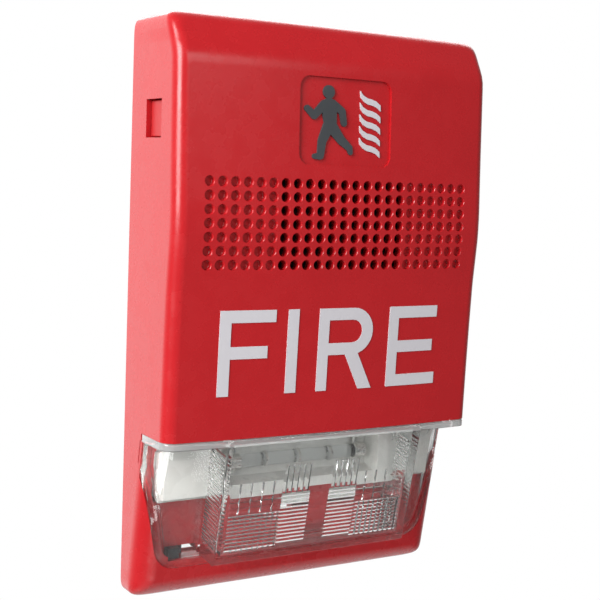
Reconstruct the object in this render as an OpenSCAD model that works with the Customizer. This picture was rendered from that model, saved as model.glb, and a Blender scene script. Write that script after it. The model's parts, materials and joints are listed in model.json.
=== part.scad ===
// Horn strobe: a wall-mounted fire alarm sounder with a xenon strobe under a clear lens.
// Frame: millimetres, +Z up, the front faces -Y, the wall is the plane Y = 0,
// X = 0 is the middle, and the origin is the centre of the box-screw pattern.

/* [Body] */
// Width of the cover across its side walls
body_w = 82.5; // [82:0.5:84]
// Height of the cover
body_h = 130.5; // [130:0.5:132]
// Projection of the cover from the wall
body_d = 25.4; // [25.4:0.1:26]
// Wall thickness of the moulded cover
wall = 2.2; // [2:0.1:2.3]
// Radius of the four corners seen from the front
corner_r = 3; // [2.8:0.1:4]
// Radius of the long edges beside the front face
edge_r = 3.3; // [3:0.1:4]
// How far the front face bulges forward between its sides
crown = 1.5; // [1:0.1:2]

/* [Strobe] */
// Height of the visor lip, measured from the middle of the body
lip_z = -26; // [-26.5:0.5:-26]
// Thickness of the clear flange under the visor
flange_t = 1.8; // [1.6:0.1:1.9]
// Thickness of the lens skin
lens_t = 1.6; // [1.4:0.1:1.6]
// Width of the prism box in the middle of the lens
prism_w = 52; // [48:1:54]
// Diameter of the flash tube
tube_d = 3.2; // [3:0.1:3.4]

/* [Sounder] */
// Diameter of one hole of the grille
hole_d = 2.15; // [1.8:0.05:2.3]
// Spacing of the holes across the grille
pitch_x = 3.05; // [3:0.05:3.05]
// Spacing of the rows of the grille
pitch_z = 3; // [2.8:0.05:3]
// Diameter of the sounder housing
sounder_d = 43; // [42:0.5:43]

/* [Wiring] */
// Distance between the two box screws
screw_span = 83.3; // [83:0.1:83.6]
// Diameter of the two box-screw holes
screw_hole_d = 4.2; // [4:0.1:4.4]
// Number of wiring terminals
poles = 4; // [4:1:4]
// Spacing of the terminals
pole_pitch = 8.2; // [8:0.1:8.4]
// Travel of a terminal clamp between open and shut
clamp_travel = 1.9; // [1.5:0.1:1.9]

/* [Hidden] */
$fn = 64;
eps = 0.01;
half_w = body_w / 2;
half_h = body_h / 2;
front_y = -body_d;
crown_r = (half_w * half_w + crown * crown) / (2 * crown);

// Side view of the front face: three flat stretches, given by their ends.
bevel_z = half_h - 7.75;
bevel_back = 5.6;
top_lean = 1.3;
knee_z = 20;
chin_z = 7;
chin_back = 1.2;
lip_back = 2.3;
skirt_z = lip_z - 3;
lower_lean = atan((lip_back - chin_back) / (chin_z - lip_z));
upper_lean = atan(top_lean / (bevel_z - knee_z));

// The slope below the visor, and the bevel along the bottom edge.
slope_z = -34;
slope_y = -13.3;
slope_angle = 9.65;
slope_edge_r = 5;
flat_r = 100000;
seam = 0.05;
bottom_bevel = 3.2;
pocket_depth = 4.5;
floor_t = 1.8;
skin_reach = 4.2;

// The lens in front view: wide under the visor, narrower at the bottom.
lens_bottom_z = -58.3;
lens_bottom_w = 75;
lens_corner_r = 6;
lens_shoulder_z = -33;
notch_y = -9.5;
prism_top_y = -23;
prism_bottom_y = -17.5;
prism_bottom_z = -56.3;
flange_z = lip_z - flange_t;

// The reflector opening behind the lens.
cavity_w = 74.8;
cavity_top_z = -28.3;
cavity_bottom_z = -42.4;
tube_z = -34.6;
tube_y = -8;
tube_len = 38;
lead_d = 0.9;

// The grille: all the holes are on one grid, and the middle columns go right through.
cols = 23;
rows = 7;
first_open = 6;
last_open = 16;
grille_top_z = 30.7;
grille_z = grille_top_z - pitch_z * (rows - 1) / 2;
blind_depth = 1.3;

// The pictogram plaque.
plaque_w = 24;
plaque_h = 19.5;
plaque_z = 44.65;
plaque_depth = 0.6;
plaque_r = 2.5;

// The lettering.
letter_top_z = 2.8;
letter_h = 19;
stroke = 3.1;
relief = 0.35;

// The circuit board hangs on four bosses inside the cover.
board_y = -13.6;
board_t = 1.6;
board_w = 72;
board_top_z = 59;
board_bottom_z = -23.6;
boss_x = 29;
boss_z = [52, -18];
boss_d = 6;
board_screw_d = 2.2;

// The mounting plate and its two latches.
plate_w = 74;
plate_t = 2.4;
plate_top_z = 60;
plate_bottom_z = -50;
wire_w = 34;
wire_bottom_z = -14;
wire_top_z = 4;
latch_z = 43.55;
latch_w = 7;
window_h = 8.3;
window_y = [-15.7, -7.8];
pivot_x = 36.3;
pivot_y = -3.8;
pivot_r = 1.2;
nib_gap = 0.15;

// The terminal block on the plate.
block_y = -10.6;
block_bottom_z = 6.5;
block_top_z = 21;
pole_z = 11.8;
contact_y = [-4.8, -3.6];
clamp_y = [-8, -6.8];
screw_d = 3;
pin_z = 18.8;
pin_d = 1.2;

// The candela selector at the lower left, seen through the lens.
selector_z = -55.2;
selector_x = -31.6;
selector_travel = 7.5;
// The two tone switches on the back of the board.
tone_x = 24.5;
tone_z = -12;
tone_gap = 4;
tone_travel = 2;

// The wall plane for a solid form, and just past it for a hollow.
function back_y(i) = i > 0 ? 2 : 0;
// Points along an arc about c, from angle a0 to angle a1.
function arc(c, r, a0, a1, steps) = [
    for (k = [0:steps])
        let (a = a0 + (a1 - a0) * k / steps)
        c + r * [cos(a), sin(a)]
];
function pole_x(i) = (i - (poles + 1) / 2) * pole_pitch;

// ---- helpers ---------------------------------------------------------------

// A box from its lowest corner to its highest corner.
module span(lo, hi) {
    translate(lo) cube(hi - lo);
}

// A cylinder along Y from y0 to y1.
module rod_y(x, z, d, y0, y1) {
    translate([x, y1, z]) rotate([90, 0, 0]) cylinder(d = d, h = y1 - y0);
}

// A cylinder along X from x0 to x1.
module rod_x(y, z, d, x0, x1) {
    translate([x0, y, z]) rotate([0, 90, 0]) cylinder(d = d, h = x1 - x0);
}

// Extrudes a front-view outline (x, z) along Y from y0 to y1.
module front_view(y0, y1) {
    translate([0, y1, 0]) rotate([90, 0, 0]) linear_extrude(y1 - y0) children();
}

// Extrudes a side-view outline (y, z) along X from x0 to x1.
module side_view(x0, x1) {
    translate([x0, 0, 0]) rotate([90, 0, 90]) linear_extrude(x1 - x0) children();
}

// A rectangle with four round corners about its middle.
module rounded_rect(w, h, r) {
    square([w, h - 2 * r], center = true);
    square([w - 2 * r, h], center = true);
    for (sx = [-1, 1], sy = [-1, 1])
        translate([sx * (w / 2 - r), sy * (h / 2 - r)]) circle(r);
}

// ---- the outer form of the cover -------------------------------------------

// Plan view of the body: a crowned front between two round edges, inset by i.
module plan(i, r, bulge_r, steps) {
    w = half_w - i;
    fillet = max(r - i, 0.6);
    bulge = bulge_r - i;
    fx = w - fillet;
    fy = bulge_r - sqrt(pow(bulge - fillet, 2) - fx * fx);
    lean = asin(fx / (bulge - fillet));
    polygon(concat(
        [[-w, body_d + 10]],
        arc([-fx, fy], fillet, 180, 270 - lean, 6),
        arc([0, bulge_r], bulge, 270 - lean, 270 + lean, steps),
        arc([fx, fy], fillet, 270 + lean, 360, 6),
        [[w, body_d + 10]]
    ));
}

// Front view of the body, inset by i.
module outline(i) {
    w = half_w - i;
    h = half_h - i;
    r = max(corner_r - i, 0.6);
    polygon(concat(
        arc([w - r, h - r], r, 0, 90, 8),
        arc([r - w, h - r], r, 90, 180, 8),
        arc([r - w, r - h], r, 180, 270, 8),
        arc([w - r, r - h], r, 270, 360, 8)
    ));
}

// The upper body, from the skirt just under the visor lip to the top.
module upper_form(i) {
    intersection() {
        translate([0, front_y, skirt_z]) linear_extrude(body_h) plan(i, edge_r, crown_r, 12);
        side_view(-body_w, body_w) polygon([
            [back_y(i), skirt_z],
            [front_y + lip_back + (lip_z - skirt_z) * tan(lower_lean) + i, skirt_z],
            [front_y + chin_back + i, chin_z],
            [front_y + i, knee_z],
            [front_y + top_lean + i, bevel_z - i / 2],
            [front_y + bevel_back + i / 2, half_h - 1 - i],
            [front_y + bevel_back + 1.8 + i / 2, half_h - i],
            [back_y(i), half_h - i]
        ]);
        front_view(front_y - 1, 3) outline(i);
    }
}

// The lower body, a slope from the lip down to the bottom bevel.
module lower_form(i) {
    intersection() {
        translate([0, slope_y, slope_z]) rotate([slope_angle, 0, 0])
            translate([0, 0, -50]) linear_extrude(70) plan(i + seam, slope_edge_r, flat_r, 1);
        side_view(-body_w, body_w) polygon([
            [back_y(i), lip_z],
            [front_y, lip_z],
            [front_y, -half_h + bottom_bevel + i],
            [slope_y + 5 + i, -half_h + bottom_bevel + i],
            [slope_y + 5 + bottom_bevel + i, -half_h + i],
            [back_y(i), -half_h + i]
        ]);
        front_view(front_y - 1, 3) outline(i);
    }
}

// Everything more than d behind the surface of the slope.
module behind_slope(d) {
    translate([0, slope_y, slope_z]) rotate([slope_angle, 0, 0])
        span([-body_w, d, -body_h], [body_w, body_h, body_h]);
}

// The part of the body below a height.
module below(z) {
    span([-body_w, front_y - 5, -body_h], [body_w, 5, z]);
}

// Outline of the lens in front view, grown by g.
module lens_outline(g) {
    w = lens_bottom_w / 2 + g;
    z = lens_bottom_z - g;
    r = lens_corner_r + g;
    top_w = half_w + 0.5 + g;
    polygon(concat(
        [[top_w, flange_z + eps], [-top_w, flange_z + eps], [-top_w, lens_shoulder_z]],
        arc([r - w, z + r], r, 190, 270, 8),
        arc([w - r, z + r], r, 270, 350, 8),
        [[top_w, lens_shoulder_z]]
    ));
}

// The solid block that the prism box is cut from, inset by i and open at the back.
module prism_block(i) {
    top_z = flange_z + (i > 0 ? 0 : 0.3);
    side_view(-prism_w / 2 + i, prism_w / 2 - i) polygon([
        [prism_top_y + i, top_z],
        [prism_bottom_y + i, prism_bottom_z + i],
        [slope_y + 2.2 + 2 * i, prism_bottom_z + 1.6 + i],
        [slope_y + 2 * i, top_z]
    ]);
}

// ---- the cover and what is printed on it -----------------------------------

// Places flat art on the lower face, with z = 0 at the lettering's base line.
module on_lower_face() {
    translate([0, front_y + chin_back, chin_z]) rotate([lower_lean, 0, 0])
        translate([0, 0, letter_top_z - chin_z - letter_h]) children();
}

// Places flat art on the upper face, about the middle of the plaque.
module on_plaque() {
    translate([0, front_y, knee_z]) rotate([-upper_lean, 0, 0])
        translate([0, plaque_depth, plaque_z - knee_z]) children();
}

module grille_hole(c, r) {
    open = c >= first_open && c <= last_open;
    x = (c - (cols - 1) / 2) * pitch_x;
    rod_y(x, grille_top_z - r * pitch_z, hole_d, front_y - 1, front_y + (open ? 6 : blind_depth + 1));
}

module front_cover() {
    color("firebrick") difference() {
        union() {
            difference() {
                upper_form(0);
                below(lip_z);
            }
            lower_form(0);
        }
        // the hollow behind the upper face, above the visor wall
        difference() {
            upper_form(wall);
            below(lip_z - floor_t);
            span([-half_w, front_y, skirt_z], [half_w, notch_y + floor_t, lip_z + floor_t]);
            for (sx = [-1, 1], z = boss_z)
                rod_y(sx * boss_x, z, boss_d, front_y, board_y);
        }
        // the hollow behind the slope
        difference() {
            intersection() {
                lower_form(wall);
                behind_slope(pocket_depth + floor_t);
            }
            span([-half_w, front_y, cavity_top_z], [half_w, notch_y + floor_t, lip_z + 1]);
        }
        // the seat of the lens flange and of the lens skin
        span([-half_w - 1, front_y - 1, flange_z], [half_w + 1, notch_y, lip_z]);
        difference() {
            front_view(front_y - 1, 0) lens_outline(0.1);
            lower_form(lens_t + 0.1);
            behind_slope(skin_reach);
        }
        // the pocket that shows red behind the lens
        difference() {
            front_view(front_y - 1, 0) lens_outline(-2.2);
            behind_slope(pocket_depth);
            span([-half_w, front_y - 2, cavity_top_z], [half_w, 1, 0]);
        }
        // the opening for the reflector
        span([-cavity_w / 2, front_y, cavity_bottom_z], [cavity_w / 2, 1, cavity_top_z]);
        // the grille
        for (c = [0:cols - 1], r = [0:rows - 1])
            grille_hole(c, r);
        // the plaque
        on_plaque() front_view(-5, 0) rounded_rect(plaque_w, plaque_h, plaque_r);
        // the latch windows
        for (s = [-1, 1])
            span([s * 40 - 4, window_y[0], latch_z - window_h / 2], [s * 40 + 4, window_y[1], latch_z + window_h / 2]);
        // the screw holes of the bosses
        for (sx = [-1, 1], z = boss_z)
            rod_y(sx * boss_x, z, board_screw_d, board_y - 5, 1);
        // the slot of the candela pointer
        span([selector_x - 1.6, front_y, selector_z - 1.4], [selector_x + 1.6 + selector_travel, 0, selector_z + 1.4]);
    }
}

// One straight bar of a block letter.
module bar(x, z, w, h) {
    translate([x, z]) square([w, h]);
}

module letter_f() {
    bar(0, 0, stroke, letter_h);
    bar(0, letter_h - stroke, 13.6, stroke);
    bar(0, 8.2, 11.6, stroke);
}

module letter_r() {
    bowl_r = 5.4;
    bowl_x = 9.2;
    bar(0, 0, stroke, letter_h);
    bar(0, letter_h - stroke, bowl_x, stroke);
    bar(0, letter_h - 2 * bowl_r, bowl_x, stroke);
    translate([bowl_x, letter_h - bowl_r]) difference() {
        circle(bowl_r);
        circle(bowl_r - stroke);
        translate([-2 * bowl_r, -bowl_r]) square([2 * bowl_r, 2 * bowl_r]);
    }
    polygon([[7.2, letter_h - 2 * bowl_r], [10.6, letter_h - 2 * bowl_r + 1], [15, 0], [11.4, 0]]);
}

module letter_e() {
    bar(0, 0, stroke, letter_h);
    for (z = [0, (letter_h - stroke) / 2, letter_h - stroke])
        bar(0, z, z == (letter_h - stroke) / 2 ? 13 : 14.4, stroke);
}

module fire_lettering() {
    color("white") on_lower_face() front_view(-relief, 0) {
        translate([-29.4, 0]) letter_f();
        translate([-12.7, 0]) square([stroke, letter_h]);
        translate([-4.7, 0]) letter_r();
        translate([14.8, 0]) letter_e();
    }
}

// A limb with round ends between two points.
module limb(a, b, w) {
    run = b - a;
    translate(a) circle(d = w);
    translate(b) circle(d = w);
    translate(a) rotate(atan2(run[1], run[0])) translate([0, -w * 0.49]) square([norm(run), w * 0.98]);
}

module pictogram_figure() {
    shoulder = [-4.6, 3.6];
    hip = [-3.4, -1.4];
    color("dimgray") on_plaque() front_view(-0.45, 0) {
        translate([-5.2, 6.6]) circle(1.5);
        limb(shoulder, hip, 3.2);
        limb(shoulder, [-7.4, 1.2], 1.6);
        limb([-7.4, 1.2], [-9.9, 2.6], 1.6);
        limb(shoulder, [-1.4, 2.8], 1.6);
        limb([-1.4, 2.8], [-0.6, -0.4], 1.6);
        limb(hip, [-6, -4], 2);
        limb([-6, -4], [-5.8, -7.8], 1.9);
        limb(hip, [-1.6, -4.4], 2);
        limb([-1.6, -4.4], [1.4, -6.2], 1.9);
    }
}

module pictogram_flames() {
    color("whitesmoke") on_plaque() front_view(-0.35, 0)
        for (k = [0:4])
            translate([0, 5.8 - 3 * k]) polygon([[3.6, 1.4], [5.4, -0.4], [8.4, -0.9], [8.4, -2.4], [5.2, -1.9], [3.8, -0.4]]);
}

// ---- the lens --------------------------------------------------------------

module strobe_lens() {
    color("aliceblue", 0.4) difference() {
        union() {
            // the flange under the visor has the same outline as the visor
            intersection() {
                upper_form(0);
                span([-body_w, front_y - 1, flange_z], [body_w, notch_y - 0.05, lip_z - 0.05]);
            }
            // the skin lies flush in the slope
            difference() {
                intersection() {
                    lower_form(0);
                    front_view(front_y - 1, 0) lens_outline(0);
                    below(flange_z + 0.3);
                }
                behind_slope(skin_reach - 0.1);
            }
            prism_block(0);
        }
        // the hollow behind the skin and inside the prism box
        intersection() {
            lower_form(lens_t);
            below(flange_z);
        }
        prism_block(lens_t);
    }
}

// ---- the sounder -----------------------------------------------------------

module dust_screen() {
    color("black") rod_y(0, grille_z, sounder_d - 0.6, -20.9, -20.6);
}

module sounder_gasket() {
    color("dimgray") difference() {
        rod_y(0, grille_z, sounder_d, -21.6, -20.9);
        rod_y(0, grille_z, sounder_d - 3, -22, -20);
    }
}

module sounder_housing() {
    color("#202020") difference() {
        rod_y(0, grille_z, sounder_d, -20.6, -14.6);
        rod_y(0, grille_z, sounder_d - 3, -21, -17.2);
        rod_y(0, grille_z, 33, -18, -15.8);
        rod_y(0, grille_z, 6, -16, -14);
    }
}

module piezo_disc() {
    color("goldenrod") union() {
        rod_y(0, grille_z, 36, -17.6, -17.2);
        rod_y(0, grille_z, 25, -17.9, -17.6);
    }
}

// ---- the circuit board -----------------------------------------------------

module circuit_board() {
    color("darkgreen") difference() {
        front_view(board_y, board_y + board_t)
            translate([0, (board_top_z + board_bottom_z) / 2])
                rounded_rect(board_w, board_top_z - board_bottom_z, 3);
        for (sx = [-1, 1], z = boss_z)
            rod_y(sx * boss_x, z, board_screw_d + 0.2, board_y - 1, 0);
        // side notches leave room for the latches
        for (s = [-1, 1])
            span([s * 36 - 2.6, board_y - 1, latch_z - 6], [s * 36 + 2.6, -1, latch_z + 6]);
        // the capacitor lies in this slot
        span([-25.2, board_y - 1, -13.4], [0.2, -1, -2.6]);
    }
}

module board_components() {
    chips = [[-20, 52, 7, 5], [-10, 54, 5, 4], [4, 54, 9, 6], [20, 56, 6, 3], [14, -18, 5, 4], [22, -10, 6, 5], [-12, -19, 7, 3.6]];
    color("#303030") for (c = chips)
        span([c[0] - c[2] / 2, board_y - 1.6, c[1] - c[3] / 2], [c[0] + c[2] / 2, board_y, c[1] + c[3] / 2]);
    color("tan") for (k = [0:6])
        span([-33.4, board_y - 0.9, 30 - 3 * k], [-31.4, board_y, 31.4 - 3 * k]);
}

module storage_capacitor() {
    color("midnightblue") union() {
        rod_x(board_y - 1.9, -8, 10, -25, -3);
        rod_x(board_y - 1.9, -8, 9.4, -3, -2);
    }
}

module trigger_transformer() {
    color("gold") union() {
        span([6, board_y - 1.5, -14], [14, board_y, -4]);
        span([7, board_y - 5.6, -13], [13, board_y - 1.5, -5]);
    }
}

module power_inductor() {
    color("#404040") union() {
        rod_y(25, -1, 9, board_y - 1.2, board_y);
        rod_y(25, -1, 7, board_y - 4.2, board_y - 1.2);
        rod_y(25, -1, 9, board_y - 5.4, board_y - 4.2);
    }
}

module board_screws() {
    back_y = board_y + board_t;
    color("silver") for (sx = [-1, 1], z = boss_z) difference() {
        union() {
            rod_y(sx * boss_x, z, 4.6, back_y, back_y + 1.4);
            rod_y(sx * boss_x, z, board_screw_d, board_y - 4.5, back_y);
        }
        span([sx * boss_x - 1.6, back_y + 0.7, z - 0.3], [sx * boss_x + 1.6, back_y + 2, z + 0.3]);
    }
}

module plug_pins() {
    color("silver") for (i = [1:poles]) {
        rod_y(pole_x(i), pin_z, pin_d, board_y + board_t, -6);
        rod_y(pole_x(i), pin_z, 2.4, board_y + board_t, board_y + board_t + 0.6);
    }
}

// ---- the strobe light ------------------------------------------------------

module reflector_profile(i) {
    polygon([
        [-12.2 - 2 * sign(i), -28.6 - i],
        [-5.2 - i, -30.4 - i],
        [-4.6 - i, -33],
        [-4.6 - i, -37],
        [-5.2 - i, -39.6 + i],
        [-9.8 - 5 * sign(i), -42 + i]
    ]);
}

module reflector() {
    end_x = cavity_w / 2 - 0.3;
    color("gainsboro") difference() {
        side_view(-end_x, end_x) reflector_profile(0);
        side_view(-end_x + 1.2, end_x - 1.2) reflector_profile(1.1);
        for (s = [-1, 1])
            translate([s * (tube_len / 2 - 2), -7, -36]) cylinder(d = 1.6, h = 10);
    }
}

module flash_tube() {
    color("lightcyan", 0.5) rod_x(tube_y, tube_z, tube_d, -tube_len / 2 + 3, tube_len / 2 - 3);
}

module tube_end_caps() {
    color("silver") for (s = [-1, 1])
        rod_x(tube_y, tube_z, tube_d + 0.6, s > 0 ? tube_len / 2 - 3 : -tube_len / 2, s > 0 ? tube_len / 2 : -tube_len / 2 + 3);
}

module tube_leads() {
    color("silver") for (s = [-1, 1]) {
        translate([s * (tube_len / 2 - 2), -7, tube_z + tube_d / 2 + 0.3]) cylinder(d = lead_d, h = -20 - tube_z);
        rod_y(s * (tube_len / 2 - 2), -18.8, lead_d, board_y + board_t, -7 + lead_d / 2);
    }
}

module trigger_band() {
    color("silver") for (x = [-9, 0, 9]) difference() {
        rod_x(tube_y, tube_z, tube_d + 0.5, x - 0.3, x + 0.3);
        rod_x(tube_y, tube_z, tube_d, x - 1, x + 1);
    }
}

// ---- the switches ----------------------------------------------------------

module candela_track() {
    x0 = selector_x - 4.2;
    x1 = selector_x + 4.2 + selector_travel;
    color("firebrick") difference() {
        span([x0 - 1, -2.7, selector_z - 2.8], [x1 + 1, -0.6, selector_z + 2.8]);
        span([x0, -3, selector_z - 1.7], [x1, -0.9, selector_z + 1.7]);
        span([x0 + 2, -1, selector_z - 1.1], [x1 - 2, 0, selector_z + 1.1]);
    }
}

module candela_slider() {
    color("#181818") union() {
        span([selector_x - 4.1, -2.6, selector_z - 1.65], [selector_x + 4.1, -1.1, selector_z + 1.65]);
        span([selector_x - 1.4, -7, selector_z - 1.25], [selector_x + 1.4, -2.6, selector_z + 1.25]);
        span([selector_x - 1.2, -1.1, selector_z - 0.9], [selector_x + 1.2, -0.4, selector_z + 0.9]);
    }
}

module tone_switch_body() {
    back_y = board_y + board_t;
    color("royalblue") difference() {
        span([tone_x - 5, back_y, tone_z - 3.5], [tone_x + 5, back_y + 3.6, tone_z + 3.5]);
        for (s = [-1, 1])
            span([tone_x + s * tone_gap / 2 - 0.75, back_y + 1.2, tone_z - 1.8],
                 [tone_x + s * tone_gap / 2 + 0.75, back_y + 5, tone_z + 1.8]);
    }
}

module tone_lever(s) {
    back_y = board_y + board_t;
    x = tone_x + s * tone_gap / 2;
    color("white") span([x - 0.7, back_y + 1.25, tone_z - 1.75], [x + 0.7, back_y + 4.4, tone_z - 0.25]);
}

// ---- the mounting plate ----------------------------------------------------

module latch_seat(s) {
    difference() {
        span([s * pivot_x - 2.2, -pivot_r * 2 - plate_t - 0.1, latch_z - latch_w / 2 - 2],
             [s * pivot_x + 2.2, -plate_t, latch_z + latch_w / 2 + 2]);
        translate([s * pivot_x, pivot_y, latch_z - latch_w / 2 - 0.2]) cylinder(r = pivot_r + 0.05, h = latch_w + 0.4);
        span([s * pivot_x - 3, front_y, latch_z - latch_w / 2 - 0.2], [s * pivot_x + 3, pivot_y, latch_z + latch_w / 2 + 0.2]);
    }
}

module mounting_plate() {
    mid_z = (plate_top_z + plate_bottom_z) / 2;
    plate_h = plate_top_z - plate_bottom_z;
    color("firebrick") difference() {
        union() {
            front_view(-plate_t, 0) translate([0, mid_z]) rounded_rect(plate_w, plate_h, 6);
            // a rim round the wire opening stiffens the plate
            front_view(-plate_t - 1.6, -plate_t) translate([0, (wire_top_z + wire_bottom_z) / 2])
                rounded_rect(wire_w + 3, wire_top_z - wire_bottom_z + 3, 2);
            // ribs beside the terminal block
            for (s = [-1, 1])
                span([s * 25 - 0.8, -plate_t - 3, -20], [s * 25 + 0.8, -plate_t, 36]);
            latch_seat(-1);
            latch_seat(1);
        }
        front_view(-plate_t - 5, 1) translate([0, (wire_top_z + wire_bottom_z) / 2])
            rounded_rect(wire_w, wire_top_z - wire_bottom_z, 1.5);
        for (s = [-1, 1])
            rod_y(0, s * screw_span / 2, screw_hole_d, -plate_t - 1, 1);
        for (i = [1:poles])
            rod_y(pole_x(i), pole_z, screw_d + 0.6, -plate_t - 1, -1.2);
    }
}

// A latch arm: a round root that turns in the plate, an arm and a nib behind the window.
module latch(s) {
    cover_inner_x = half_w - wall;
    color("firebrick") union() {
        translate([s * pivot_x, pivot_y, latch_z - latch_w / 2]) cylinder(r = pivot_r, h = latch_w);
        translate([0, 0, latch_z - latch_w / 2]) linear_extrude(latch_w) polygon([
            [s * (pivot_x - 0.4), pivot_y],
            [s * (pivot_x + 0.9), pivot_y],
            [s * (pivot_x + 1.6), pivot_y - 3],
            [s * (pivot_x + 1.6), -8.1],
            [s * (cover_inner_x - nib_gap), -8.6],
            [s * (cover_inner_x - nib_gap), -12.4],
            [s * (pivot_x + 1.6), -15.2],
            [s * (pivot_x + 0.4), -15.2],
            [s * (pivot_x + 0.4), pivot_y - 3]
        ]);
    }
}

module terminal_block() {
    color("#2b2b2b") difference() {
        span([-17.6, block_y, block_bottom_z], [17.6, -plate_t, block_top_z]);
        for (i = [1:poles]) {
            span([pole_x(i) - 3.2, block_y - 1, pole_z - 4.1], [pole_x(i) + 3.2, contact_y[1], pole_z + 3.9]);
            span([pole_x(i) - 1.9, -8.6, block_bottom_z - 1], [pole_x(i) + 1.9, contact_y[0], pole_z]);
            rod_y(pole_x(i), pole_z, screw_d + 0.6, -5, 0);
            rod_y(pole_x(i), pin_z, pin_d + 0.5, block_y - 1, -4);
        }
    }
}

module terminal_contacts() {
    color("goldenrod") for (i = [1:poles]) difference() {
        span([pole_x(i) - 3.1, contact_y[0], pole_z - 4], [pole_x(i) + 3.1, contact_y[1], pole_z + 3.8]);
        rod_y(pole_x(i), pole_z, screw_d + 0.1, -6, -2);
    }
}

module clamp_plate(i) {
    color("silver") difference() {
        span([pole_x(i) - 3, clamp_y[0], pole_z - 3.4], [pole_x(i) + 3, clamp_y[1], pole_z + 3.4]);
        rod_y(pole_x(i), pole_z, screw_d + 0.1, -9, -6);
    }
}

module terminal_screw(i) {
    color("silver") difference() {
        union() {
            rod_y(pole_x(i), pole_z, 5.4, clamp_y[0] - 1.8, clamp_y[0]);
            rod_y(pole_x(i), pole_z, screw_d, clamp_y[0], -3.2);
        }
        span([pole_x(i) - 3, clamp_y[0] - 2, pole_z - 0.4], [pole_x(i) + 3, clamp_y[0] - 0.8, pole_z + 0.4]);
    }
}

// ---- the assembly ----------------------------------------------------------

front_cover();
strobe_lens();
fire_lettering();
pictogram_figure();
pictogram_flames();
dust_screen();
sounder_gasket();
sounder_housing();
piezo_disc();
circuit_board();
board_components();
storage_capacitor();
trigger_transformer();
power_inductor();
board_screws();
plug_pins();
reflector();
flash_tube();
tube_end_caps();
tube_leads();
trigger_band();
candela_track();
candela_slider();
tone_switch_body();
tone_lever(-1);  // tone_lever_1
tone_lever(1);  // tone_lever_2
mounting_plate();
latch(-1);  // latch_left
latch(1);  // latch_right
terminal_block();
terminal_contacts();
clamp_plate(1);  // clamp_plate_1
clamp_plate(2);  // clamp_plate_2
clamp_plate(3);  // clamp_plate_3
clamp_plate(4);  // clamp_plate_4
terminal_screw(1);  // terminal_screw_1
terminal_screw(2);  // terminal_screw_2
terminal_screw(3);  // terminal_screw_3
terminal_screw(4);  // terminal_screw_4
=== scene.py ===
"""Looks for a wall-mounted horn strobe: a red cover, a clear prism lens and what they hold.

Lengths inside the form functions are millimetres in the part's own frame: X across,
Z up, and depth is the distance in front of the wall, so y = -depth.
"""

import json
import math

import bpy
import numpy as np
from mathutils import Matrix, Vector
from mathutils.geometry import delaunay_2d_cdt


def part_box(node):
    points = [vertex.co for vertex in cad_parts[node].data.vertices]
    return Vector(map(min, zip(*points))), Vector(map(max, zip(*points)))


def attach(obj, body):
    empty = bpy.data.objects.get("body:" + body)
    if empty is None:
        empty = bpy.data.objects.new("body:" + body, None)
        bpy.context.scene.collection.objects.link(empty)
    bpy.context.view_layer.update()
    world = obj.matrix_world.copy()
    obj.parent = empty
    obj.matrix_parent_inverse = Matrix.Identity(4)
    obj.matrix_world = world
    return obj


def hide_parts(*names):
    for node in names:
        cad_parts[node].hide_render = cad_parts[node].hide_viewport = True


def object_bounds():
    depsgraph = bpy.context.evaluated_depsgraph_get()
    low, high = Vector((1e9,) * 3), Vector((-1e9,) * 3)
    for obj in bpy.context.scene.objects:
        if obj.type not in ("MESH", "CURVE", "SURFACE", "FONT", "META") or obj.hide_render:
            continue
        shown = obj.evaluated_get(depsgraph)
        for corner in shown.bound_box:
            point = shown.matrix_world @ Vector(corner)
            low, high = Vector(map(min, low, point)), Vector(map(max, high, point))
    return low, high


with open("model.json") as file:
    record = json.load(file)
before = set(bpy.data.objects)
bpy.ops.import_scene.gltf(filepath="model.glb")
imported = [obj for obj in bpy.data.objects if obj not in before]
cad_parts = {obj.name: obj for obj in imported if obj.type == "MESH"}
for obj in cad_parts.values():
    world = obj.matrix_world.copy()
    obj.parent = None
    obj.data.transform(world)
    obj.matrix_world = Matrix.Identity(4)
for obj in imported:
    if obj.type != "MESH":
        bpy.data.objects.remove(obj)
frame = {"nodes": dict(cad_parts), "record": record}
cad_lo, cad_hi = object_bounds()
nodes = frame["nodes"]

MM = 0.001
cover_lo, cover_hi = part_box("front_cover")
HALF_W = cover_hi.x / MM        # the cover's half width, half height and depth
HALF_H = cover_hi.z / MM
FRONT = -cover_lo.y / MM

# ---------------------------------------------------------------- the form of the cover

# Corners of the front outline: a superellipse, which turns more tightly than an arc of its reach.
CORNER = 6.0
CORNER_POWER = 5.2
CROWN = 1.4             # how far the face falls back from its centre line to its sides
SIDE_FILLET = 2.9
TOP_FILLET = 1.8
LIP_Z = -26.0           # underside of the visor lip, where the lens begins
# How far the face stands back from its foremost line, from the top edge to the lip.
FACE = [(70.0, 9.6), (64.6, 5.9), (57.2, 1.3), (40.0, 0.7), (24.0, 0.0), (19.0, 0.05),
        (8.0, 1.1), (-3.0, 1.6), (-15.0, 2.0), (LIP_Z, 2.3), (-60.0, 3.4)]
FACE_SOFT = 1.7         # half length over which the bends of the face are rounded
FACE_SAMPLES = 9

# The top edge rises a little more than the CAD's, shared out over the bevel.
TOP_LIFT = 0.9
LIFT_FROM = 55.0

# The lower part slopes back towards the bottom: its depth at one height, and its slope.
SLOPE_Z = -34.0
SLOPE_DEPTH = 13.3
SLOPE = math.tan(math.radians(9.65))
SLOPE_FILLET = 5.0
BOTTOM_FILLET = 3.4
SIDE_ROUND, END_ROUND = 2.0, 1.35   # shape of the lower edge: 2 is a quarter circle, less is flatter
WALL = 2.2


def corner_pull(x, z):
    """How far a point reaches into the corner zone, sideways and up or down."""
    return np.maximum(np.abs(x) - (HALF_W - CORNER), 0), np.maximum(np.abs(z) - (HALF_H - CORNER), 0)


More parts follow.
